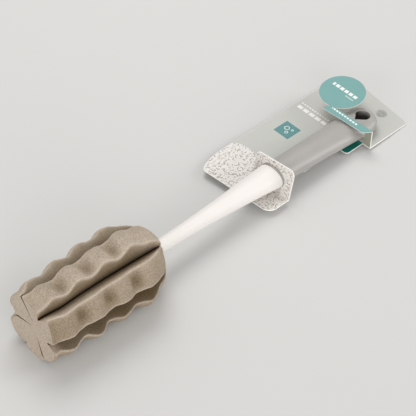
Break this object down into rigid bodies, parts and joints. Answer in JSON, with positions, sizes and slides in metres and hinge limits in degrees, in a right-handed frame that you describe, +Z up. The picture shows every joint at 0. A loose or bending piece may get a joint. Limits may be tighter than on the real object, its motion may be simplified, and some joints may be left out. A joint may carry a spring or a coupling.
{
  "type": "cup brush",
  "caption": "Foam-headed cup brush with a flared plastic shaft and a soft grip, held in a folded hang card.",
  "frame": {"origin": "centre of the bounding box in plan, on the surface the brush lies on", "axes": "+X along the brush from the foam head to the hang hole, +Z up from the surface"},
  "size_m": [0.3372, 0.0776, 0.0526],
  "materials": {
    "foam": "open-cell foam, matt",
    "white_plastic": "smooth moulding",
    "grey_rubber": "satin soft grip",
    "grey_board": "coated board",
    "bubble_board": "coated board with a bubble print",
    "teal_board": "coated board, teal"
  },
  "bodies": {
    "brush": {"foam_head": "foam", "handle_body": "white_plastic", "grip": "grey_rubber"},
    "card": {"card_back": "grey_board", "card_loop": "bubble_board", "card_leg": "grey_board", "card_flap": "teal_board"}
  },
  "joints": [
    {"name": "card_slide", "type": "slide", "parent": "brush", "child": "card", "axis": [0.9995, 0, -0.0332], "range_m": [-0.016, 0.018]}
  ]
}
